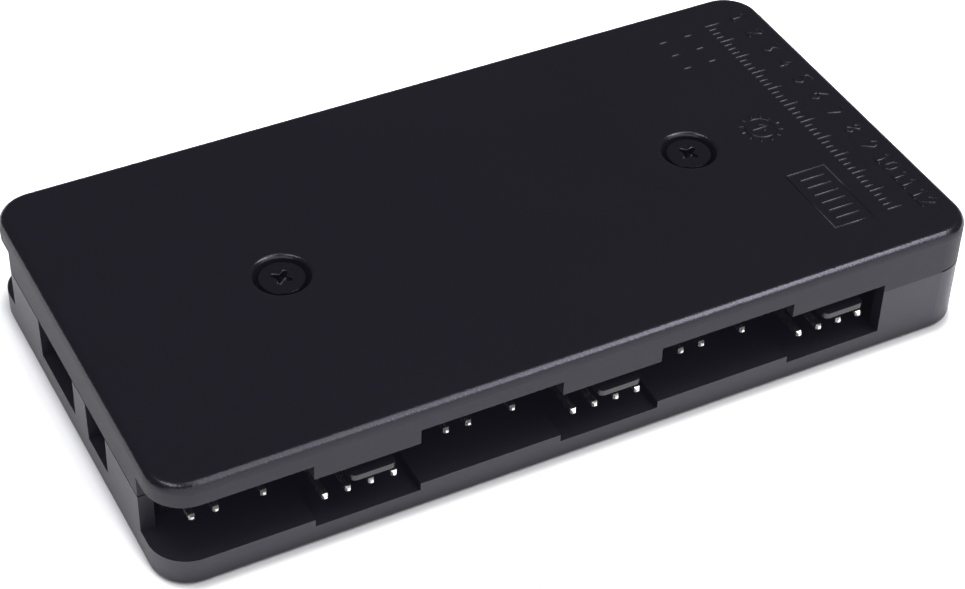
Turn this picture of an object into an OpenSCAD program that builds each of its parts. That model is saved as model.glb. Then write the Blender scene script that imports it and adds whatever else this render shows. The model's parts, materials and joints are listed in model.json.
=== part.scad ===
// Hub that splits one fan lead and one lighting lead to the ports along both long sides.
// Origin: middle of the underside. +X runs along the ports, +Y to the back, +Z up.

/* [Case] */
// Length of the case, along the ports
case_l = 95.5; // [93:0.5:130]
// Width of the case, from the front ports to the back ports
case_w = 50; // [46:0.5:80]
// Height of the case
case_h = 13.5; // [13:0.1:20]
// Radius of the upright corners
corner_r = 4.3; // [2.5:0.1:5.5]
// Radius of the lid's top edge
top_edge_r = 1; // [0.3:0.1:1.4]
// Radius of the base's bottom edge
bottom_edge_r = 0.7; // [0.2:0.1:0.9]
// Thickness of the side walls
wall = 1.6; // [1.4:0.1:2]
// Thickness of the lid's top plate
lid_plate = 1.6; // [1.2:0.1:2]
// Thickness of the base's floor
floor_t = 1; // [0.8:0.1:1.2]

/* [Parting line] */
// Height of the parting line between base and lid
seam_z = 8.1; // [7.6:0.1:8.1]
// Width of the gap that shows at the parting line, round the short ends
seam_gap = 0.18; // [0.05:0.01:0.25]
// Thickness of the base's tongue, which lies inside the lid's wall
tongue_t = 0.7; // [0.5:0.05:0.8]
// Height of the tongue above the base's wall
tongue_h = 0.8; // [0.4:0.1:0.8]
// Clearance between the tongue and the lid
tongue_gap = 0.1; // [0.05:0.01:0.2]

/* [Ports] */
// Width of a lighting port
lighting_w = 16.15; // [14:0.05:17]
// Height of a lighting port's lower edge
lighting_sill_z = 3.4; // [2.6:0.1:4]
// Height of a lighting port's upper edge
lighting_head_z = 10.9; // [9.6:0.1:11.2]
// Width of a fan port
fan_w = 11.65; // [11:0.05:13]
// Height of a fan port's lower edge
fan_sill_z = 2.5; // [2:0.1:3]
// Height of a fan port's upper edge
fan_head_z = 9.1; // [9.1:0.1:9.6]
// Extra width of the last fan port, which has no port beside it
last_port_extra = 0.2; // [0:0.05:0.5]
// Reach of the first port round the case's left corners
corner_cut = 6.2; // [5.8:0.1:7]

/* [Headers] */
// Distance between neighbouring pins of a port
pitch = 2.54; // [2.5:0.01:2.6]
// Side of a port's square pin
pin_side = 0.64; // [0.5:0.01:0.8]
// Length of the bevel at a pin's tip
pin_bevel = 0.3; // [0.1:0.05:0.5]
// Height of the middle of a fan pin
fan_pin_z = 5.05; // [4.95:0.05:5.3]
// Distance by which the first fan header stands left of its port's middle
first_fan_left = 0.45; // [0:0.05:0.6]
// Distance from the case's face to the tips of the fan pins
fan_tip_in = 0.9; // [0.2:0.1:3]
// Height of the middle of a lighting pin
lighting_pin_z = 6.6; // [6:0.1:7.2]
// Distance from the case's face to the tips of the lighting pins
lighting_tip_in = 2.65; // [1:0.05:4]
// Distance from the case's face to the fronts of the headers
header_in = 8.6; // [8.4:0.1:9]
// Depth of a fan header's block
fan_block_d = 3.2; // [2.8:0.1:3.4]
// Depth of a lighting header's block
lighting_block_d = 2.54; // [2.3:0.02:3]
// Distance from the headers' fronts to the middle of the pins' tails
tail_back = 4.2; // [4:0.1:4.6]
// Depth of the grooves between the pin places
groove = 0.4; // [0.2:0.05:0.5]
// Width of the fan header's tab
tab_w = 5.05; // [4:0.05:6]
// Thickness of the tab
tab_t = 0.65; // [0.5:0.05:0.9]
// Radius of the tab's front corners
tab_r = 0.7; // [0.3:0.1:1.2]
// Gap between the fan pins and the tab
tab_gap = 1.3; // [1:0.05:1.5]
// Distance from the case's face to the tab's tip
tab_tip_in = 0.3; // [0:0.05:1]
// Height of the catch under the tab
catch_h = 0.2; // [0.1:0.05:0.3]
// Distance from the tab's tip to the catch
catch_in = 1; // [0.6:0.1:2]

/* [Circuit board] */
// Thickness of the board
board_t = 1.2; // [0.8:0.1:1.4]
// Room under the board for the pins' tails
tail_room = 0.9; // [0.8:0.05:1]
// Length by which the tails stand out under the board
tail_out = 0.6; // [0.3:0.05:0.7]
// Distance from the case's long faces to the board's long edges
board_in = 8.1; // [7.9:0.1:8.3]
// Gap between the board's ends and the walls
board_gap = 0.3; // [0.1:0.05:0.6]
// Diameter of the board's pin holes
pin_hole_d = 1.05; // [1:0.05:1.3]
// Radius of the board's corners
board_r = 1; // [0.5:0.1:2]
// Depth of the board's seat on the base's shelves
ledge = 1; // [0.6:0.1:1.4]
// Gap between the ports' raised floors and the board
shelf_gap = 0.5; // [0.3:0.1:0.8]

/* [Inputs] */
// Height of the lower edge of the two input openings
input_sill_z = 3.25; // [3:0.05:4]
// Taper of an input opening's sides, at the bottom
input_draft = 0.15; // [0:0.05:0.3]
// Width of the main input's opening
main_opening_w = 10.4; // [9.6:0.1:11]
// Distance of the main input from the middle of the end
main_y = 4.9; // [4.6:0.1:6]
// Width of the control input's opening
control_opening_w = 5.8; // [5.2:0.1:6.4]
// Distance of the control input from the middle of the end
control_y = 6.9; // [6.6:0.1:7.2]
// Distance between neighbouring pins of an input
input_pitch = 2; // [1.9:0.05:2.1]
// Side of an input's square pin
input_pin_side = 0.5; // [0.4:0.01:0.64]
// Width of an input socket beyond its outer pins
input_margin = 1.9; // [1.6:0.1:2]
// Height of an input socket
input_h = 4.8; // [4.2:0.1:4.8]
// Depth of an input socket
input_d = 7.6; // [6:0.1:8]
// Thickness of an input socket's walls
input_wall = 0.7; // [0.5:0.05:0.9]
// Thickness of an input socket's back
input_back = 1.8; // [1.2:0.1:2.4]
// Width of the two keyways in a socket's top
keyway_w = 0.8; // [0.5:0.1:1]
// Distance from a socket's face to the tips of its pins
input_tip_in = 1.4; // [0.8:0.1:2]
// Distance from a socket's back to the middle of its pins' tails
input_tail_back = 0.8; // [0.6:0.1:1.2]

/* [Screws] */
// Distance of the left screw from the case's left end
left_screw_in = 23.75; // [22:0.25:26]
// Distance of the right screw from the case's right end
right_screw_in = 22.05; // [18:0.05:26]
// Diameter of the wells in the lid
well_d = 6.1; // [5.8:0.1:7]
// Depth of the wells
well_h = 2.5; // [2.2:0.1:2.8]
// Radius of the wells' upper rims
well_edge_r = 0.5; // [0.1:0.05:0.6]
// Thickness of a well's bottom and of its wall
well_wall = 1.4; // [1:0.1:1.6]
// Diameter of a screw's head
head_d = 5.2; // [4.6:0.1:5.6]
// Height of a screw's head
head_h = 2.1; // [1.4:0.05:2.3]
// Radius of a screw head's upper edge
head_edge_r = 0.4; // [0.2:0.05:0.7]
// Turn of the cross in the left screw's head
left_turn = 48; // [0:1:90]
// Turn of the cross in the right screw's head
right_turn = 30; // [0:1:90]
// Length of the slots of a cross
cross_l = 2.8; // [2.2:0.1:3.2]
// Width of the slots of a cross
cross_w = 0.7; // [0.5:0.05:1]
// Depth of the cross
cross_depth = 1.1; // [0.6:0.1:1.2]
// Length of a screw below its head
screw_l = 6; // [5:0.5:7]
// Diameter of a screw's thread
screw_d = 2.6; // [2.2:0.1:2.8]
// Clearance round the screw's thread in the boss
thread_gap = 0.02; // [0.01:0.01:0.05]
// Clearance round the screw in the lid
screw_gap = 0.2; // [0.1:0.05:0.3]
// Room in the boss below a screw's tip
tip_room = 0.6; // [0.2:0.1:0.8]
// Diameter of a screw boss of the base
boss_d = 5.6; // [5:0.1:6]
// Clearance between the bosses and the board
boss_gap = 0.2; // [0.1:0.05:0.3]
// Width of the shoulder on which the board lies
shoulder = 1.5; // [1:0.1:2]

/* [Lid posts] */
// Distance of the lid's posts from the middle of the case, along the ports
post_x = 11.5; // [9:0.5:13]
// Distance of the posts from the middle of the case, across it
post_y = 8; // [6:0.5:9]
// Diameter of the posts, which stand over the board
post_d = 3; // [2:0.1:4]
// Gap between the posts and the board
post_gap = 0.1; // [0.05:0.05:0.2]

/* [Capacitors] */
// Diameter of a capacitor's can
can_d = 5; // [4:0.1:5.5]
// Height of a capacitor above the board
can_h = 5.4; // [4:0.1:6]
// Distance from the left screw to the capacitors, towards the inputs
can_before_screw = 8.5; // [7.5:0.1:9]
// Distance of the capacitors from the middle of the case, across it
can_y = 5; // [4:0.1:6]
// Thickness of the plate under a can
plate_t = 0.9; // [0.6:0.1:1.2]
// Width of the plate beyond the can
plate_margin = 0.15; // [0.05:0.05:0.4]
// Depth of the crimp round the can's foot
crimp = 0.3; // [0.1:0.05:0.4]

/* [Hidden] */
$fn = 64;
PAIRS = 3;
SIDES = ["front", "back"];
PLACES = 4;
LIGHTING_PLACES = [0, 1, 3];
FAN_PLACES = [0, 1, 2, 3];
TAB_PLACE = 2;
MAIN_PINS = 4;
CONTROL_PINS = 2;
BEYOND = 1;

NODES = concat(
    ["base", "lid", "circuit_board"],
    [for (kind = ["fan_header", "fan_pins", "lighting_header", "lighting_pins"])
        for (side = SIDES) for (pair = [1 : PAIRS]) str(kind, "_", side, "_", pair)],
    ["main_input_socket", "main_input_pins", "control_input_socket", "control_input_pins"],
    ["smoothing_capacitors", "lid_screws"]
);
node = "all";

left = -case_l / 2;
front = -case_w / 2;
pair_w = lighting_w + fan_w;
ports_l = PAIRS * pair_w + last_port_extra;
row_w = PLACES * pitch;
board_z = floor_t + tail_room;
board_top = board_z + board_t;
ceiling_z = case_h - lid_plate;
inner_l = case_l - 2 * wall;
inner_w = case_w - 2 * wall;
inner_r = max(corner_r - wall, 0.5);
shelf_in = board_in - shelf_gap;
tail_in = header_in + tail_back;
tab_z = fan_pin_z + pin_side / 2 + tab_gap;
well_floor_z = case_h - well_h;
well_seat_z = well_floor_z - well_wall;
screw_x = [left + left_screw_in, -left - right_screw_in];
cross_turn = [left_turn, right_turn];
bore_depth = screw_l - well_wall + tip_room;
input_in = wall + board_gap;
input_pin_z = board_top + input_h / 2;
input_tail_in = input_in + input_d + input_tail_back;
can_x = screw_x[0] - can_before_screw;

plastic_black = [0.13, 0.13, 0.145];
header_black = [0.2, 0.2, 0.21];
socket_black = [0.1, 0.1, 0.11];
pin_metal = [0.8, 0.8, 0.78];
mask_black = [0.07, 0.09, 0.08];

// Left edge of a pair's lighting port and of its fan port, and the fan port's width
function lighting_x(pair) = left + pair * pair_w;
function fan_x(pair) = lighting_x(pair) + lighting_w;
function fan_port_w(pair) = pair == PAIRS - 1 ? fan_w + last_port_extra : fan_w;

// Middle of a pair's lighting header and of its fan header
function lighting_row_x(pair) = lighting_x(pair) + lighting_w / 2;
function fan_row_x(pair) = fan_x(pair) + fan_w / 2 - (pair == 0 ? first_fan_left : 0);

// Puts a header's own frame, with +Y inwards, at a place on the front or back face
module at_face(side, x) {
    facing = side == "front" ? 0 : 180;
    rotate([0, 0, facing])
        translate([facing == 0 ? x : -x, front, 0])
            children();
}

// Puts a socket's own frame, with +Y inwards, at a place on the left end
module at_left_end(y) {
    translate([left, y, 0])
        rotate([0, 0, -90])
            children();
}

module both_long_sides() {
    children();
    mirror([0, 1, 0]) children();
}

// Plan of a box with round corners
module plan(l, w, r) {
    square([l - 2 * r, w], center = true);
    square([l, w - 2 * r], center = true);
    for (x = [-1, 1], y = [-1, 1])
        translate([x * (l / 2 - r), y * (w / 2 - r)])
            circle(r);
}

// What a round of radius r leaves outside it in a corner
module corner_waste(r) {
    difference() {
        square(r + BEYOND);
        circle(r);
    }
}

// Section of a box from its middle to one side, with its outer edges rounded
module edge_section(reach, h, low_r, high_r) {
    difference() {
        square([reach, h]);
        if (low_r > 0)
            translate([reach - low_r, low_r]) mirror([0, 1]) corner_waste(low_r);
        if (high_r > 0)
            translate([reach - high_r, h - high_r]) corner_waste(high_r);
    }
}

module full_section(width, h, low_r, high_r) {
    edge_section(width / 2, h, low_r, high_r);
    mirror([1, 0]) edge_section(width / 2, h, low_r, high_r);
}

// Box with round upright corners and rounded edges: two crossed bars and four turned corners
module soft_box(l, w, h, r, low_r, high_r) {
    rotate([90, 0, 90])
        linear_extrude(l - 2 * r, center = true)
            full_section(w, h, low_r, high_r);
    rotate([90, 0, 0])
        linear_extrude(w - 2 * r, center = true)
            full_section(l, h, low_r, high_r);
    for (turn = [0 : 3])
        translate([(turn == 0 || turn == 3 ? 1 : -1) * (l / 2 - r), (turn < 2 ? 1 : -1) * (w / 2 - r), 0])
            rotate([0, 0, 90 * turn])
                rotate_extrude(angle = 90)
                    edge_section(r, h, low_r, high_r);
}

// Outline of a row of ports: a band that all of them share, and each port's own rectangle
module port_outline() {
    low = max(lighting_sill_z, fan_sill_z);
    high = min(lighting_head_z, fan_head_z);
    translate([left, low])
        square([ports_l, high - low]);
    for (pair = [0 : PAIRS - 1]) {
        translate([lighting_x(pair), lighting_sill_z])
            square([lighting_w, lighting_head_z - lighting_sill_z]);
        translate([fan_x(pair), fan_sill_z])
            square([fan_port_w(pair), fan_head_z - fan_sill_z]);
    }
}

// Outline of the ports' raised floors, on which the plugs slide in
module shelf_outline() {
    translate([left, 0])
        square([ports_l, min(lighting_sill_z, fan_sill_z)]);
    for (pair = [0 : PAIRS - 1]) {
        translate([lighting_x(pair), 0])
            square([lighting_w, lighting_sill_z]);
        translate([fan_x(pair), 0])
            square([fan_port_w(pair), fan_sill_z]);
    }
}

// Extrudes an outline inwards between two distances from the front face
module into_front(from, to) {
    translate([0, front + to, 0])
        rotate([90, 0, 0])
            linear_extrude(to - from)
                children();
}

// Space of the ports of the front side, which base and lid share
module front_ports() {
    into_front(-BEYOND, wall + BEYOND) port_outline();
    translate([left - BEYOND, front - BEYOND, lighting_sill_z])
        cube([corner_r + BEYOND, corner_cut + BEYOND, lighting_head_z - lighting_sill_z]);
}

// Opening of an input: sides that lean outwards, from its sill to the parting line
module input_opening(opening_w) {
    foot = opening_w / 2 - input_draft;
    top = seam_z + tongue_h + tongue_gap;
    translate([0, wall + BEYOND, 0])
        rotate([90, 0, 0])
            linear_extrude(wall + 2 * BEYOND)
                polygon([
                    [-foot, input_sill_z],
                    [foot, input_sill_z],
                    [opening_w / 2, seam_z],
                    [opening_w / 2, top],
                    [-opening_w / 2, top],
                    [-opening_w / 2, seam_z]
                ]);
}

// Raised floors of the front ports, and the ledge behind them for the board's edge
module port_shelves() {
    into_front(wall / 2, shelf_in) shelf_outline();
    into_front(wall / 2, board_in + ledge)
        translate([left, 0]) square([case_l, board_z]);
}

module base() {
    color(plastic_black)
    difference() {
        union() {
            difference() {
                soft_box(case_l, case_w, seam_z, corner_r, bottom_edge_r, 0);
                translate([0, 0, floor_t])
                    linear_extrude(seam_z)
                        plan(inner_l, inner_w, inner_r);
                both_long_sides() front_ports();
                at_left_end(main_y) input_opening(main_opening_w);
                at_left_end(-control_y) input_opening(control_opening_w);
            }
            tongue();
            intersection() {
                translate([0, 0, floor_t / 2])
                    linear_extrude(seam_z)
                        plan(case_l - wall, case_w - wall, corner_r - wall / 2);
                both_long_sides() port_shelves();
            }
            for (x = screw_x)
                translate([x, 0, 0]) screw_boss();
        }
        for (x = screw_x)
            translate([x, 0, well_seat_z - bore_depth])
                cylinder(d = screw_d + 2 * thread_gap, h = bore_depth + BEYOND);
    }
}

// Tongue that rises out of the base's wall inside the lid's, except at the ports and the inputs
module tongue() {
    outer = 2 * (wall - tongue_t);
    difference() {
        translate([0, 0, seam_z - tongue_t])
            linear_extrude(tongue_t + tongue_h)
                difference() {
                    plan(case_l - outer, case_w - outer, corner_r - outer / 2);
                    plan(inner_l, inner_w, inner_r);
                }
        both_long_sides() front_ports();
        at_left_end(main_y) input_opening(main_opening_w);
        at_left_end(-control_y) input_opening(control_opening_w);
    }
}

module screw_boss() {
    translate([0, 0, floor_t / 2])
        cylinder(d = boss_d, h = well_seat_z - floor_t / 2);
    translate([0, 0, floor_t / 2])
        cylinder(d = boss_d + 2 * shoulder, h = board_z - floor_t / 2);
}

module lid() {
    rebate = 2 * (wall - tongue_t - tongue_gap);
    color(plastic_black)
    difference() {
        union() {
            difference() {
                translate([0, 0, seam_z])
                    soft_box(case_l, case_w, case_h - seam_z, corner_r, 0, top_edge_r);
                for (side = [-1, 1])
                    translate([side * (case_l / 2 + BEYOND), 0, seam_z])
                        cube([2 * (corner_r + BEYOND), case_w + 2 * BEYOND, 2 * seam_gap], center = true);
                linear_extrude(ceiling_z)
                    plan(inner_l, inner_w, inner_r);
                linear_extrude(seam_z + tongue_h + tongue_gap)
                    plan(case_l - rebate, case_w - rebate, corner_r - rebate / 2);
                both_long_sides() front_ports();
            }
            for (x = screw_x)
                translate([x, 0, well_seat_z])
                    cylinder(d = well_d + 2 * well_wall, h = case_h - well_seat_z - lid_plate / 2);
            for (x = [-post_x, post_x], y = [-post_y, post_y])
                translate([x, y, board_top + post_gap])
                    cylinder(d = post_d, h = ceiling_z + lid_plate / 2 - board_top - post_gap);
        }
        for (x = screw_x)
            translate([x, 0, 0]) screw_well();
    }
}

// Well with a round upper rim, and the hole in its bottom
module screw_well() {
    translate([0, 0, well_floor_z])
        cylinder(d = well_d, h = well_h + BEYOND);
    rotate_extrude()
        translate([well_d / 2 + well_edge_r, case_h - well_edge_r])
            mirror([1, 0]) corner_waste(well_edge_r);
    translate([0, 0, well_seat_z - BEYOND])
        cylinder(d = screw_d + 2 * screw_gap, h = well_wall + 2 * BEYOND);
}

// Holes of one row of tails, in the header's own frame
module tail_holes(places) {
    for (place = places)
        translate([(place - 1.5) * pitch, tail_in])
            circle(d = pin_hole_d);
}

module circuit_board() {
    color(mask_black)
    translate([0, 0, board_z])
        linear_extrude(board_t)
            difference() {
                plan(case_l - 2 * (wall + board_gap), case_w - 2 * board_in, board_r);
                for (x = screw_x)
                    translate([x, 0]) circle(d = boss_d + 2 * boss_gap);
                for (side = SIDES, pair = [0 : PAIRS - 1]) {
                    at_face(side, fan_row_x(pair)) tail_holes(FAN_PLACES);
                    at_face(side, lighting_row_x(pair)) tail_holes(LIGHTING_PLACES);
                }
                at_left_end(main_y) input_holes(MAIN_PINS);
                at_left_end(-control_y) input_holes(CONTROL_PINS);
            }
}

module input_holes(count) {
    for (i = [0 : count - 1])
        translate([(i - (count - 1) / 2) * input_pitch, input_tail_in])
            circle(d = pin_hole_d);
}

// Square pin, bevelled at its tip, that runs straight back and then down through the board
module bent_pin(side, z, tip_in, back_in) {
    corner = back_in - side / 2;
    bottom = board_z - tail_out;
    intersection() {
        rotate([90, 0, 90])
            linear_extrude(side, center = true) {
                polygon([
                    [tip_in + pin_bevel, z - side / 2],
                    [corner, z - side / 2],
                    [corner, z + side / 2],
                    [tip_in + pin_bevel, z + side / 2],
                    [tip_in, z + side / 4],
                    [tip_in, z - side / 4]
                ]);
                translate([corner, bottom])
                    square([side, z - side / 2 - bottom]);
                translate([corner, z - side / 2])
                    intersection() {
                        square(side);
                        circle(side);
                    }
            }
        linear_extrude(case_h)
            polygon([
                [-side / 4, tip_in],
                [side / 4, tip_in],
                [side / 2, tip_in + pin_bevel],
                [side / 2, back_in + side],
                [-side / 2, back_in + side],
                [-side / 2, tip_in + pin_bevel]
            ]);
    }
}

module pin_row(places, z, tip_in) {
    color(pin_metal)
    for (place = places)
        translate([(place - 1.5) * pitch, 0, 0])
            bent_pin(pin_side, z, tip_in, tail_in);
}

// Square holes through a header's block, which grip the pins
module pin_holes(places, z) {
    for (place = places)
        translate([(place - 1.5) * pitch - pin_side / 2, header_in - BEYOND, z - pin_side / 2])
            cube([pin_side, fan_block_d + 2 * BEYOND, pin_side]);
}

// Block with a groove between each two pin places, front and back
module grooved_block(depth, top) {
    translate([0, 0, board_top])
        linear_extrude(top - board_top)
            difference() {
                translate([-row_w / 2, header_in]) square([row_w, depth]);
                for (gap = [-1 : 1], y = [header_in, header_in + depth])
                    translate([gap * pitch, y]) rotate(45) square(groove * sqrt(2), center = true);
            }
}

// Section of the tab along a pin, with a catch under its tip
module tab_section() {
    catch_at = tab_tip_in + catch_in;
    root = header_in + fan_block_d / 2;
    polygon([
        [tab_tip_in, tab_z],
        [catch_at, tab_z],
        [catch_at + 2 * catch_h, tab_z - catch_h],
        [catch_at + 6 * catch_h, tab_z],
        [root, tab_z],
        [root, tab_z + tab_t],
        [tab_tip_in, tab_z + tab_t]
    ]);
}

// Plan of the tab: a strip with two round corners at its tip
module tab_plan() {
    translate([-tab_w / 2, tab_tip_in + tab_r])
        square([tab_w, header_in + fan_block_d]);
    translate([tab_r - tab_w / 2, tab_tip_in])
        square([tab_w - 2 * tab_r, 2 * tab_r]);
    for (side = [-1, 1])
        translate([side * (tab_w / 2 - tab_r), tab_tip_in + tab_r])
            circle(tab_r);
}

// Block with a tab that runs out over three of the pins to the case's face
module fan_header() {
    color(header_black)
    difference() {
        union() {
            grooved_block(fan_block_d, tab_z + tab_t);
            translate([(TAB_PLACE - 1.5) * pitch, 0, 0])
                intersection() {
                    rotate([90, 0, 90])
                        linear_extrude(tab_w + 2 * BEYOND, center = true) tab_section();
                    linear_extrude(case_h) tab_plan();
                }
        }
        pin_holes(FAN_PLACES, fan_pin_z);
    }
}

module lighting_header() {
    color(header_black)
    difference() {
        grooved_block(lighting_block_d, lighting_pin_z + pitch / 2);
        pin_holes(LIGHTING_PLACES, lighting_pin_z);
    }
}

// Box-shaped socket, open to the left end, with two keyways in its top
module input_socket(count) {
    outer_w = (count - 1) * input_pitch + 2 * input_margin;
    cavity_w = outer_w - 2 * input_wall;
    cavity_d = input_d - input_back;
    color(socket_black)
    difference() {
        translate([-outer_w / 2, input_in, board_top])
            cube([outer_w, input_d, input_h]);
        translate([-cavity_w / 2, input_in - BEYOND, board_top + input_wall])
            cube([cavity_w, cavity_d + BEYOND, input_h - 2 * input_wall]);
        for (side = [-1, 1])
            translate([side * (cavity_w / 2 - keyway_w) - keyway_w / 2, input_in - BEYOND, input_pin_z])
                cube([keyway_w, cavity_d / 2 + BEYOND, input_h]);
        for (i = [0 : count - 1])
            translate([(i - (count - 1) / 2) * input_pitch, input_in + input_d - input_back, input_pin_z])
                translate([-input_pin_side / 2, -BEYOND, -input_pin_side / 2])
                    cube([input_pin_side, input_back + 2 * BEYOND, input_pin_side]);
    }
}

module input_pins(count) {
    color(pin_metal)
    for (i = [0 : count - 1])
        translate([(i - (count - 1) / 2) * input_pitch, 0, 0])
            bent_pin(input_pin_side, input_pin_z, input_in + input_tip_in, input_tail_in);
}

// Can with a crimped foot on a square plate that has two bevelled corners
module capacitor() {
    plate = can_d + 2 * plate_margin;
    translate([0, 0, board_top]) {
        linear_extrude(plate_t)
            intersection() {
                square(plate, center = true);
                translate([-1, 0]) rotate(45) square(plate * sqrt(2) - 1, center = true);
            }
        rotate_extrude()
            polygon([
                [0, plate_t / 2],
                [can_d / 2, plate_t / 2],
                [can_d / 2, plate_t + crimp],
                [can_d / 2 - crimp, plate_t + 1.5 * crimp],
                [can_d / 2 - crimp, plate_t + 2 * crimp],
                [can_d / 2, plate_t + 2.5 * crimp],
                [can_d / 2, can_h - crimp],
                [can_d / 2 - crimp, can_h],
                [0, can_h]
            ]);
    }
}

module smoothing_capacitors() {
    color([0.75, 0.75, 0.77])
    for (y = [-can_y, can_y])
        translate([can_x, y, 0]) capacitor();
}

// Screw with a flat round head, rounded at its upper edge, and a cross recess
module lid_screw() {
    difference() {
        union() {
            rotate_extrude() edge_section(head_d / 2, head_h, 0, head_edge_r);
            translate([0, 0, -screw_l]) cylinder(d = screw_d, h = screw_l + head_h / 2);
        }
        for (turn = [0, 90])
            rotate([0, 0, turn])
                translate([-cross_l / 2, -cross_w / 2, head_h - cross_depth])
                    cube([cross_l, cross_w, cross_depth + BEYOND]);
    }
}

module lid_screws() {
    color([0.09, 0.09, 0.1])
    for (i = [0, 1])
        translate([screw_x[i], 0, well_floor_z])
            rotate([0, 0, cross_turn[i]]) lid_screw();
}

// True when a node is asked for, alone or with all the others
function wanted(name) = node == "all" || node == name;

if (wanted("base")) base();
if (wanted("lid")) lid();
if (wanted("circuit_board")) circuit_board();
for (side = SIDES, pair = [0 : PAIRS - 1]) {
    place = str(side, "_", pair + 1);
    if (wanted(str("fan_header_", place)))
        at_face(side, fan_row_x(pair)) fan_header();
    if (wanted(str("fan_pins_", place)))
        at_face(side, fan_row_x(pair)) pin_row(FAN_PLACES, fan_pin_z, fan_tip_in);
    if (wanted(str("lighting_header_", place)))
        at_face(side, lighting_row_x(pair)) lighting_header();
    if (wanted(str("lighting_pins_", place)))
        at_face(side, lighting_row_x(pair)) pin_row(LIGHTING_PLACES, lighting_pin_z, lighting_tip_in);
}
if (wanted("main_input_socket")) at_left_end(main_y) input_socket(MAIN_PINS);
if (wanted("main_input_pins")) at_left_end(main_y) input_pins(MAIN_PINS);
if (wanted("control_input_socket")) at_left_end(-control_y) input_socket(CONTROL_PINS);
if (wanted("control_input_pins")) at_left_end(-control_y) input_pins(CONTROL_PINS);
if (wanted("smoothing_capacitors")) smoothing_capacitors();
if (wanted("lid_screws")) lid_screws();
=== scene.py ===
"""Looks of a fan splitter: a flat black hub of moulded plastic with pin headers along both long sides.

Sizes are in millimetres, from the middle of the underside, and are turned to metres where a mesh is made.
"""
import json
import math

import bpy
import numpy as np
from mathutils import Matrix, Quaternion, Vector


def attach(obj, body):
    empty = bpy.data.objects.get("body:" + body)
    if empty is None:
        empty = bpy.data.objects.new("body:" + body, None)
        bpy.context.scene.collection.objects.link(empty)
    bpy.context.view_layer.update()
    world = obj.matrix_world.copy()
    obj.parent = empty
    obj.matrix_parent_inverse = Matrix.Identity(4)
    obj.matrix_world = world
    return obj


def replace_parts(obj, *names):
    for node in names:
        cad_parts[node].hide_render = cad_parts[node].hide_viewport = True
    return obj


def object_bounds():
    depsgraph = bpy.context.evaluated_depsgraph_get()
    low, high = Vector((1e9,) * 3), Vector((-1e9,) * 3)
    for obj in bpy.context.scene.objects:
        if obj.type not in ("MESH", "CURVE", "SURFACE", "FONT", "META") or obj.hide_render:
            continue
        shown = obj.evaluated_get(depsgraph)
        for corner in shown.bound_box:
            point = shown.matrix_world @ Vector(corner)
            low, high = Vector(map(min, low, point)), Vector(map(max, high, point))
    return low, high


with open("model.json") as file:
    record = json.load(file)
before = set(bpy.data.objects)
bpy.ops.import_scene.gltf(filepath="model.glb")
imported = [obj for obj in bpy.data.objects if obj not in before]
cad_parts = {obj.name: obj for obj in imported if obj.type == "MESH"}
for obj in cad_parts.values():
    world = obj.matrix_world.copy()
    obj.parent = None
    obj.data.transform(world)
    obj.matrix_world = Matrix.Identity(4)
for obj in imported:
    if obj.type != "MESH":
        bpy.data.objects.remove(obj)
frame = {"nodes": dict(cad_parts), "record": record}
CAD_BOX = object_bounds()
MM = 0.001
NODES = frame["nodes"]


def linear(code):
    """Linear RGBA of an sRGB hex colour."""
    shares = [int(code[i:i + 2], 16) / 255 for i in (1, 3, 5)]
    return tuple(c / 12.92 if c <= 0.04045 else ((c + 0.055) / 1.055) ** 2.4 for c in shares) + (1.0,)


def grain(size):
    """Texture scale at which one grain is about size millimetres across."""
    return 1 / (size * MM)


def add(tree, kind, inputs=None, **settings):
    """Adds a shader node: settings are its own choices, inputs are values or the sockets they come from."""
    made = tree.nodes.new("ShaderNode" + kind)
    for name, value in settings.items():
        setattr(made, name, value)
    for name, value in (inputs or {}).items():
        if isinstance(value, bpy.types.NodeSocket):
            tree.links.new(value, made.inputs[name])
        else:
            made.inputs[name].default_value = value
    return made


def finish(name, colour, **constants):
    """A new material with one Principled shader: itself, its tree, shader and object coordinates."""
    made = bpy.data.materials.new(name)
    made.use_nodes = True
    tree = made.node_tree
    tree.nodes.clear()
    sockets = {key.replace("_", " "): value for key, value in constants.items()}
    shader = add(tree, "BsdfPrincipled", {"Base Color": linear(colour), **sockets})
    add(tree, "OutputMaterial", {"Surface": shader.outputs["BSDF"]})
    place = add(tree, "TexCoord").outputs["Object"]
    return made, tree, shader, place


def spread(tree, value, low, high):
    """A texture's value from 0 to 1 stretched to run from low to high."""
    return add(tree, "MapRange", {"Value": value, "To Min": low, "To Max": high}).outputs["Result"]


def blend(tree, value, limits, first, second):
    """Two numbers blended along a distance: the first up to the lower limit, the second past the upper."""
    low, high = limits
    share = add(tree, "MapRange", {"Value": value, "From Min": low * MM, "From Max": high * MM})
    mixed = add(tree, "Mix", {"Factor": share.outputs["Result"], "A": first, "B": second})
    return mixed.outputs["Result"]


def between(tree, value, first, second):
    """A colour between two sRGB hex colours, at a texture's value."""
    ramp = add(tree, "ValToRGB", {"Fac": value})
    ramp.color_ramp.elements[0].color = linear(first)
    ramp.color_ramp.elements[1].color = linear(second)
    return ramp.outputs["Color"]


TOP_GRAIN_Z = (12.7, 13.2)    # the walls' coarse grain turns into the top's fine one over this height


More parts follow.
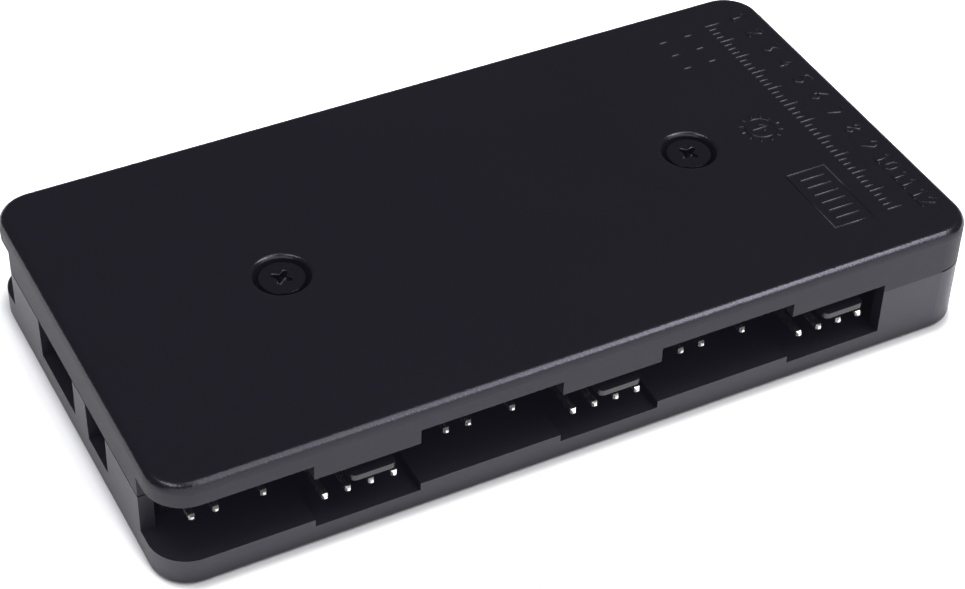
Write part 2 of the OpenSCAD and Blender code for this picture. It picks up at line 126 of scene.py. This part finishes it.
def moulded_abs(name, matt, ior):
    """Black ABS moulded in a spark-eroded tool: a faintly blue black with a fine, even sheen on top.

    Its upright walls have a coarser grain, with a roughness from matt upwards.
    """
    made, tree, shader, place = finish(name, "#070709", IOR=ior, Roughness=0.2)
    clouds = add(tree, "TexNoise", {"Vector": place, "Scale": grain(14), "Detail": 2.0}).outputs["Fac"]
    tree.links.new(between(tree, clouds, "#060608", "#08080B"), shader.inputs["Base Color"])
    pits = add(tree, "TexNoise", {"Vector": place, "Scale": grain(0.2), "Detail": 1.0}).outputs["Fac"]
    fine = spread(tree, pits, 0.12, 0.3)
    coarse = spread(tree, pits, matt, matt + 0.15)
    height = add(tree, "SeparateXYZ", {"Vector": place}).outputs["Z"]
    tree.links.new(blend(tree, height, TOP_GRAIN_Z, coarse, fine), shader.inputs["Roughness"])
    shader.inputs["Specular Tint"].default_value = linear("#F1EEFF")
    relief = add(tree, "Bump", {"Height": pits, "Distance": 0.018 * MM, "Strength": 1.0})
    tree.links.new(relief.outputs["Normal"], shader.inputs["Normal"])
    return made


def moulded_nylon(name, dark, light):
    """Heat-proof nylon of a pin header: satin, with a slightly uneven skin where the glass fibres lie."""
    made, tree, shader, place = finish(name, dark, IOR=1.55, Roughness=0.42)
    fibres = add(tree, "TexNoise", {"Vector": place, "Scale": grain(0.5), "Detail": 3.0}).outputs["Fac"]
    tree.links.new(between(tree, fibres, dark, light), shader.inputs["Base Color"])
    tree.links.new(spread(tree, fibres, 0.24, 0.36), shader.inputs["Roughness"])
    relief = add(tree, "Bump", {"Height": fibres, "Distance": 0.006 * MM})
    tree.links.new(relief.outputs["Normal"], shader.inputs["Normal"])
    return made


def tin_plate(name, tip):
    """Bright tin over drawn brass wire: a mirror-like white metal with faint lines along the pin.

    The bevelled end, which lies past tip millimetres from the hub's middle, is pressed and so more matt.
    """
    made, tree, shader, place = finish(name, "#DCDCD8", Metallic=1.0, Roughness=0.2)
    drawn = add(tree, "Mapping", {"Vector": place, "Scale": (1.0, 0.06, 1.0)}).outputs["Vector"]
    lines = add(tree, "TexNoise", {"Vector": drawn, "Scale": grain(0.06), "Detail": 1.0}).outputs["Fac"]
    tree.links.new(between(tree, lines, "#D2D2CE", "#E6E6E2"), shader.inputs["Base Color"])
    along = add(tree, "SeparateXYZ", {"Vector": place}).outputs["Y"]
    along = add(tree, "Math", {0: along}, operation="ABSOLUTE").outputs["Value"]
    bright = spread(tree, lines, 0.2, 0.32)
    matt = spread(tree, lines, 0.36, 0.46)
    tree.links.new(blend(tree, along, (tip - 0.05, tip), bright, matt), shader.inputs["Roughness"])
    return made


def solder_mask():
    """Black solder mask over glass cloth: glossy lacquer in which the weave of the laminate shows."""
    made, tree, shader, place = finish("black_solder_mask", "#0D110F", IOR=1.52, Roughness=0.25)
    weave = add(tree, "TexWave", {"Vector": place, "Scale": grain(3.0), "Distortion": 0.4}).outputs["Fac"]
    tree.links.new(between(tree, weave, "#0C100E", "#101613"), shader.inputs["Base Color"])
    tree.links.new(spread(tree, weave, 0.2, 0.32), shader.inputs["Roughness"])
    return made


def drawn_can():
    """Deep-drawn aluminium can of a capacitor under a clear skin: bright, with fine rings from the die."""
    made, tree, shader, place = finish("drawn_aluminium_can", "#C4C6C8", Metallic=1.0, Roughness=0.3)
    rings = add(tree, "Mapping", {"Vector": place, "Scale": (0.05, 0.05, 1.0)}).outputs["Vector"]
    lines = add(tree, "TexNoise", {"Vector": rings, "Scale": grain(0.1), "Detail": 1.0}).outputs["Fac"]
    tree.links.new(between(tree, lines, "#B8BABC", "#CDCFD1"), shader.inputs["Base Color"])
    tree.links.new(spread(tree, lines, 0.22, 0.38), shader.inputs["Roughness"])
    return made


def black_zinc():
    """Steel screw plated with black zinc: dark glossy metal that glints at its edges."""
    made, tree, shader, place = finish("black_zinc_on_steel", "#46464A", Metallic=1.0, Roughness=0.22)
    salt = add(tree, "TexNoise", {"Vector": place, "Scale": grain(0.18), "Detail": 2.0}).outputs["Fac"]
    tree.links.new(between(tree, salt, "#3E3E42", "#4E4E52"), shader.inputs["Base Color"])
    tree.links.new(spread(tree, salt, 0.16, 0.28), shader.inputs["Roughness"])
    return made


# Shadow painted into the floor's colour along the hub's foot
SHADE_CORNER_R = 3.0          # round corners of the foot
SHADE_ENDS_IN = 1.3           # the painted shade reaches this much less far out at the ends
SHADE_W = 2.4
SHADE_DEPTH = 0.28            # share of the board's colour that the painted shade leaves at the foot


def pale_floor():
    """Matt pale board that the hub stands on, with a narrow soft shadow painted along the hub's foot.

    The painted shade's strength follows the distance past a rectangle one corner radius inside the foot.
    """
    made, tree, shader, place = finish("pale_matt_board_with_painted_shade", "#F6F6F6", Roughness=0.8)
    fibres = add(tree, "TexNoise", {"Vector": place, "Scale": grain(40), "Detail": 2.0}).outputs["Fac"]
    board = between(tree, fibres, "#F4F4F4", "#F8F8F8")
    out = add(tree, "VectorMath", {0: place}, operation="ABSOLUTE").outputs["Vector"]
    inner = (CAD_BOX[1][0] - (SHADE_CORNER_R + SHADE_ENDS_IN) * MM, CAD_BOX[1][1] - SHADE_CORNER_R * MM, 0)
    out = add(tree, "VectorMath", {0: out, 1: inner}, operation="SUBTRACT").outputs["Vector"]
    out = add(tree, "VectorMath", {0: out, 1: (0, 0, 0)}, operation="MAXIMUM").outputs["Vector"]
    away = add(tree, "VectorMath", {0: out}, operation="LENGTH").outputs["Value"]
    # Painted shadow: the board's colour is darkened to SHADE_DEPTH at the foot and fades out over SHADE_W
    foot = SHADE_CORNER_R * MM
    limits = {"From Min": foot, "From Max": foot + SHADE_W * MM, "To Min": SHADE_DEPTH}
    clear = add(tree, "MapRange", {"Value": away, **limits}, interpolation_type="SMOOTHSTEP")
    shaded = {0: board, 1: clear.outputs["Result"]}
    painted_shade_colour = add(tree, "VectorMath", shaded, operation="MULTIPLY").outputs["Vector"]
    tree.links.new(painted_shade_colour, shader.inputs["Base Color"])
    return made


FAN_BEVEL_Y = 23.8            # where the bevels of the fan pins' and lighting pins' tips start
LIGHTING_BEVEL_Y = 22.05
FINISHES = {
    "case_plastic": moulded_abs("black_abs_spark_eroded", 0.5, 1.45),
    "header_plastic": moulded_nylon("black_glass_filled_nylon", "#0C0C0E", "#121215"),
    "socket_plastic": moulded_nylon("black_nylon", "#121214", "#1A1A1D"),
    "contact_metal": tin_plate("bright_tin_plate", FAN_BEVEL_Y),
    "solder_mask": solder_mask(),
    "capacitor_can": drawn_can(),
    "screw_black": black_zinc(),
}


def dress(piece, slot):
    """Gives a piece the finish of a material slot."""
    piece.data.materials.clear()
    piece.data.materials.append(FINISHES[slot])


for part in frame["record"]["subparts"]:
    dress(NODES[part["node"]], part["material_slot"])
# The base's walls are a little glossier than the lid's
NODES["base"].data.materials[0] = moulded_abs("black_abs_finer_spark_eroded", 0.34, 1.54)
lighting_tin = tin_plate("bright_tin_plate_set_back", LIGHTING_BEVEL_Y)
for name, node in NODES.items():
    if name.startswith("lighting_pins"):
        node.data.materials[0] = lighting_tin


def loft(rings):
    """Points and faces of the surface through rings of points, closed round each and capped at both ends.

    rings has the shape (rings, points in a ring, 3). A face joins two neighbours of a ring to the same two
    of the next.
    """
    count, round_it = rings.shape[:2]
    here = np.arange(count - 1)[:, None] * round_it + np.arange(round_it)
    beside = np.roll(here, -1, axis=1)
    sides = np.stack([here, beside, beside + round_it, here + round_it], axis=-1).reshape(-1, 4)
    first = list(range(round_it))[::-1]
    last = list(range((count - 1) * round_it, count * round_it))
    return rings.reshape(-1, 3), sides.tolist() + [first, last]


def build(name, material_slot, lofts):
    """One piece from several lofts, at the origin, smooth shaded, riding on the hub."""
    points, faces, start = [], [], 0
    for place, sides in lofts:
        points.append(place)
        faces += [[start + corner for corner in side] for side in sides]
        start += len(place)
    mesh = bpy.data.meshes.new(name)
    mesh.from_pydata((np.concatenate(points) * MM).tolist(), [], faces)
    mesh.polygons.foreach_set("use_smooth", [True] * len(faces))
    made = bpy.data.objects.new(name, mesh)
    bpy.context.scene.collection.objects.link(made)
    dress(made, material_slot)
    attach(made, "root")
    return made


# Screws, each with a flat head and a tapered cross
SCREW_X = (-24.0, 25.7)
CROSS_TURN = (48, 30)
WELL_FLOOR = 11.0
HEAD_TOP = 13.1
HEAD_R = 2.6
HEAD_EDGE_R = 0.012
HEAD_SIDE_Z = 12.0
HEAD_FOOT_R = 2.0
FINE_RINGS_R = 1.6        # rings lie close together up to here, for the cross
CROSS_REACH = 1.2
CROSS_DEPTH = 1.3
ARM_HALF_W = 0.46
ARM_TAPER = 0.22
ARM_RISE = 0.3
FLANK_W = 0.14
SHANK_END = 5.0
THREAD_R = 1.28
CORE_R = 1.0
TIP_R = 0.7
PITCH = 0.9


def smooth_step(share):
    """Rises from 0 to 1 as 3 s squared less 2 s cubed, where s is the share kept from 0 to 1."""
    kept = np.clip(share, 0, 1)
    return kept * kept * (3 - 2 * kept)


def recess(x, y, turn):
    """Depth of the cross at a point: each arm narrows and rises outwards, with steep rounded flanks."""
    c, s = math.cos(math.radians(turn)), math.sin(math.radians(turn))
    along, across = x * c + y * s, y * c - x * s
    depth = np.zeros(np.broadcast(x, y).shape)
    for reach, side in ((abs(along), abs(across)), (abs(across), abs(along))):
        half = ARM_HALF_W - ARM_TAPER * reach / CROSS_REACH
        flank = smooth_step((half - side) / FLANK_W)
        end = smooth_step((CROSS_REACH - reach) / FLANK_W)
        rise = 1 - ARM_RISE * np.clip(reach / CROSS_REACH, 0, 1)
        depth = np.maximum(depth, CROSS_DEPTH * rise * flank * end)
    return depth


def screw(x, turn):
    """A screw at x: rings from the middle of its head out over the edge and down to the tip.

    The shank's radius goes from the core's to the thread's and back once a pitch, one pitch later per turn.
    """
    around = np.linspace(0, 2 * np.pi, 144, endpoint=False)
    bend = np.linspace(0, np.pi / 2, 6)
    flat_r = np.concatenate([np.linspace(0.01, FINE_RINGS_R, 80),
                             np.linspace(FINE_RINGS_R + 0.05, HEAD_R - HEAD_EDGE_R, 6)])
    edge_r = HEAD_R - HEAD_EDGE_R + HEAD_EDGE_R * np.sin(bend)
    edge_z = HEAD_TOP - HEAD_EDGE_R + HEAD_EDGE_R * np.cos(bend)
    thread_z = np.arange(WELL_FLOOR - 0.3, SHANK_END + 0.2, -PITCH / 12)
    r = np.concatenate([flat_r, edge_r, [HEAD_R, HEAD_R, HEAD_FOOT_R, CORE_R, CORE_R]])
    under_z = [HEAD_SIDE_Z] + [WELL_FLOOR] * 3 + [WELL_FLOOR - 0.2]
    z = np.concatenate([np.full(len(flat_r), HEAD_TOP), edge_z, under_z])
    wind = np.abs(2 * np.mod(thread_z[:, None] / PITCH - around / (2 * np.pi), 1) - 1)
    radius = np.concatenate([np.tile(r[:, None], len(around)), CORE_R + (THREAD_R - CORE_R) * wind,
                             np.full((1, len(around)), TIP_R)])
    height = np.concatenate([z, thread_z, [SHANK_END]])[:, None] + np.zeros(len(around))
    px, py = radius * np.cos(around), radius * np.sin(around)
    height[:len(flat_r)] -= recess(px, py, turn)[:len(flat_r)]
    return loft(np.stack([px + x, py, height], axis=-1))


for side, x, turn in zip(("left", "right"), SCREW_X, CROSS_TURN):
    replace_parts(build("screw_" + side, "screw_black", [screw(x, turn)]), "lid_screws")


# Raised marks on the lid: plain numbers, a scale, a dial and a map of the ports
LID_TOP = 13.5
LINE_HALF_W = 0.14
LINE_H = 0.12
DIGITS = {    # strokes on a grid 2 wide and 4 high
    "0": [[(0, 1), (0, 3), (1, 4), (2, 3), (2, 1), (1, 0), (0, 1)]],
    "1": [[(0, 3), (1, 4), (1, 0)], [(0, 0), (2, 0)]],
    "2": [[(0, 3), (1, 4), (2, 3), (0, 0), (2, 0)]],
    "3": [[(0, 4), (2, 4), (1, 2.4), (2, 1.2), (1, 0), (0, 0.6)]],
    "4": [[(1.5, 0), (1.5, 4), (0, 1.2), (2, 1.2)]],
    "5": [[(2, 4), (0, 4), (0, 2.3), (1.3, 2.3), (2, 1.2), (1.3, 0), (0, 0)]],
    "6": [[(1.6, 4), (0, 1.6), (0.6, 0), (1.5, 0), (2, 1.1), (1.4, 2.2), (0.3, 2)]],
    "7": [[(0, 4), (2, 4), (0.7, 0)]],
    "8": [[(1, 2.1), (0.1, 3.1), (1, 4), (1.9, 3.1), (1, 2.1), (0, 1), (1, 0), (2, 1), (1, 2.1)]],
    "9": [[(1.7, 2), (0.6, 1.8), (0, 2.9), (0.5, 4), (1.4, 4), (2, 2.4), (0.4, 0)]],
}


def rib(points):
    """A raised line along points: half-round, even in width round its bends, with rounded ends.

    Its section is an ellipse, and the lower half is in the lid.
    """
    path = np.array(points, float)
    steps = np.diff(path, axis=0)
    steps /= np.linalg.norm(steps, axis=1)[:, None]
    heading = np.concatenate([steps[:1], steps[:-1] + steps[1:], steps[-1:]])
    heading /= np.linalg.norm(heading, axis=1)[:, None]
    widen = 1 / np.clip(np.sum(heading * np.concatenate([steps[:1], steps]), axis=1), 0.5, 1)
    dome = np.radians([80, 55, 28])
    middle = np.concatenate([path[0] - steps[0] * LINE_HALF_W * np.sin(dome)[:, None], path,
                             path[-1] + steps[-1] * LINE_HALF_W * np.sin(dome[::-1])[:, None]])
    heading = np.concatenate([np.tile(steps[0], (3, 1)), heading, np.tile(steps[-1], (3, 1))])
    wide = np.concatenate([np.cos(dome), widen, np.cos(dome[::-1])])
    high = np.concatenate([np.cos(dome), np.ones(len(path)), np.cos(dome[::-1])])
    around = np.linspace(0, 2 * np.pi, 14, endpoint=False)
    across = LINE_HALF_W * wide[:, None] * np.cos(around)
    x = middle[:, :1] + heading[:, 1:] * across
    y = middle[:, 1:] - heading[:, :1] * across
    return loft(np.stack([x, y, LID_TOP + LINE_H * high[:, None] * np.sin(around)], axis=-1))


def number(value, x, y, high):
    """The strokes of a number that is read from the inputs' end, with its middle at x, y."""
    unit = high / 4
    shown = str(value)
    start = -(len(shown) * 3 - 1) / 2
    return [rib([(x + (v - 2) * unit, y - (start + 3 * i + u) * unit) for u, v in stroke])
            for i, digit in enumerate(shown) for stroke in DIGITS[digit]]


def dial(x, y, r):
    """A ring with twelve short ticks outside it, and an arrow."""
    turn = np.linspace(0, 2 * np.pi, 37)
    ticks = [rib([(x + k * r * math.cos(a), y + k * r * math.sin(a)) for k in (1.2, 1.45)])
             for a in turn[:-1:3]]
    ring = rib(np.stack([x + r * np.cos(turn), y + r * np.sin(turn)], axis=-1))
    shaft = rib([(x - 0.6 * r, y), (x + 0.6 * r, y)])
    head = rib([(x + 0.1 * r, y - 0.35 * r), (x + 0.6 * r, y), (x + 0.1 * r, y + 0.35 * r)])
    return ticks + [ring, shaft, head]


SCALE_Y = (19.9, -18.5)       # first and last of the twelve numbers
NUMBERS_X = 44.7
NUMBER_H = 2.0
TICK_START = 39.9
TICK_END = (41.7, 40.9, 40.9, 40.9)    # each fourth tick is long
FRAME_X = (33, 38)
FRAME_Y = (-8.8, -18.7)
BAR_X = (34, 37)
BARS_Y = (-10.2, -17.3)
DASHES_X = (33.2, 36.6)
DASHES_Y = (13.6, 16.4, 19.2)
DASH_L = 0.9
DIAL = (35.2, 0, 1.7)         # x, y and radius

numbers = [stroke for i, y in enumerate(np.linspace(*SCALE_Y, 12))
           for stroke in number(i + 1, NUMBERS_X, y, NUMBER_H)]
ticks = [rib([(TICK_START, y), (TICK_END[i % 4], y)]) for i, y in enumerate(np.linspace(*SCALE_Y, 45))]
corners = [(FRAME_X[i], FRAME_Y[j]) for i, j in ((0, 0), (1, 0), (1, 1), (0, 1), (0, 0))]
bars = [rib([(x, y) for x in BAR_X]) for y in np.linspace(*BARS_Y, 6)]
dashes = [rib([(x, y), (x + DASH_L, y)]) for x in DASHES_X for y in DASHES_Y]
build("raised_marks", "case_plastic", numbers + ticks + [rib(corners)] + bars + dashes + dial(*DIAL))


# Camera, where the photograph was taken from
CAMERA_EYE = (-97.08, -179.41, 178.74)
CAMERA_TARGET = (-2.79, -5.12, 6.75)
CAMERA_ROLL = 1.82        # degrees, anticlockwise
CAMERA_LENS = 90.34       # for a picture 36 wide


def stand_camera():
    """A camera at the eye that looks at the target and is rolled about its own axis."""
    lens = bpy.data.cameras.new("camera")
    lens.sensor_width = 36.0
    lens.lens = CAMERA_LENS
    lens.clip_start = 0.01
    camera = bpy.data.objects.new("camera", lens)
    eye = Vector(CAMERA_EYE) * MM
    level = (Vector(CAMERA_TARGET) * MM - eye).to_track_quat("-Z", "Y")
    camera.location = eye
    camera.rotation_mode = "QUATERNION"
    camera.rotation_quaternion = level @ Quaternion((0, 0, 1), math.radians(CAMERA_ROLL))
    bpy.context.scene.collection.objects.link(camera)
    bpy.context.scene.camera = camera


stand_camera()


# Studio lights, whose sizes and places are in metres
LIGHT_HEIGHT = 1.2
LIGHT_TINT = "#FDFDFF"    # daylight tubes
CARD_AWAY = 1.6           # a card's way from the hub
VEIL = (0.0105, 0.01, 0.012)    # stray light in the lens: red, green, blue
# Pairs of linear light and how light it is printed
TONES = ((0.006, 0.0006), (0.0108, 0.0034), (0.0147, 0.0094), (0.024, 0.021), (0.2, 0.2), (0.75, 1.0))


def lamp_of(name, wide, deep, radiance, sheen_only):
    """An even rectangular lamp that faces down and is seen in sheen only, or lights matt surfaces only."""
    lamp = bpy.data.lights.new(name, "AREA")
    lamp.shape = "RECTANGLE"
    lamp.size = wide
    lamp.size_y = deep
    lamp.color = linear(LIGHT_TINT)[:3]
    lamp.energy = radiance * math.pi * wide * deep
    holder = bpy.data.objects.new(name, lamp)
    holder.visible_diffuse = not sheen_only
    holder.visible_glossy = sheen_only
    bpy.context.scene.collection.objects.link(holder)
    return holder


def soft_box(name, left, right, near, far, radiance, sheen_only=True):
    """A level soft box: its edges are in heights of the box, from the point over the hub's middle."""
    wide, deep = (right - left) * LIGHT_HEIGHT, (far - near) * LIGHT_HEIGHT
    holder = lamp_of(name, wide, deep, radiance, sheen_only)
    holder.location = ((left + right) / 2 * LIGHT_HEIGHT, (near + far) / 2 * LIGHT_HEIGHT, LIGHT_HEIGHT)


def card(name, azimuth, half_turn, rise, radiance):
    """A white card that stands on the floor and faces the hub: half its width and its height in degrees."""
    wide = 2 * CARD_AWAY * math.tan(math.radians(half_turn))
    high = CARD_AWAY * math.tan(math.radians(rise))
    holder = lamp_of(name, wide, high, radiance, sheen_only=True)
    turn = math.radians(azimuth)
    holder.location = (CARD_AWAY * math.cos(turn), CARD_AWAY * math.sin(turn), high / 2)
    holder.rotation_euler = (math.radians(90), 0, turn + math.radians(90))


def picture_tones():
    """The photograph's tones: crushed shadows under a thin veil, and white reached before full light."""
    view = bpy.context.scene.view_settings
    view.view_transform = "Standard"
    view.use_curve_mapping = True
    tones = view.curve_mapping
    for light, printed in TONES:
        tones.curves[3].points.new(light, printed)
    for point in tones.curves[3].points:
        point.handle_type = "VECTOR"
    for curve, stray in zip(tones.curves, VEIL):
        curve.points[0].location = (0, stray)
    tones.update()


soft_box("right_box", 0.42, 0.72, -0.75, 0.2, 10.0)
soft_box("right_box_edge", 0.1, 0.42, -0.75, 0.4, 3.4)
soft_box("left_box", -0.52, -0.18, -0.2, 0.3, 6.5)
card("front_card", -95, 60, 52, 1.35)
soft_box("left_fill", -1.5, -0.05, -0.7, 0.9, 2.6, sheen_only=False)
soft_box("front_fill", 0.0, 2.0, -1.5, -0.1, 8.0, sheen_only=False)
soft_box("back_fill", 0.1, 1.3, 0.0, 1.2, 1.7, sheen_only=False)
picture_tones()

world = bpy.data.worlds.new("studio")
world.use_nodes = True
world.node_tree.nodes["Background"].inputs["Color"].default_value = linear("#505058")
bpy.context.scene.world = world

FLOOR_SIZE = 4000.0
floor_mesh = bpy.data.meshes.new("floor")
reach = FLOOR_SIZE / 2 * MM
floor_mesh.from_pydata(
    [(-reach, -reach, 0), (reach, -reach, 0), (reach, reach, 0), (-reach, reach, 0)], [], [(0, 1, 2, 3)])
floor_mesh.materials.append(pale_floor())
floor = bpy.data.objects.new("floor", floor_mesh)
bpy.context.scene.collection.objects.link(floor)
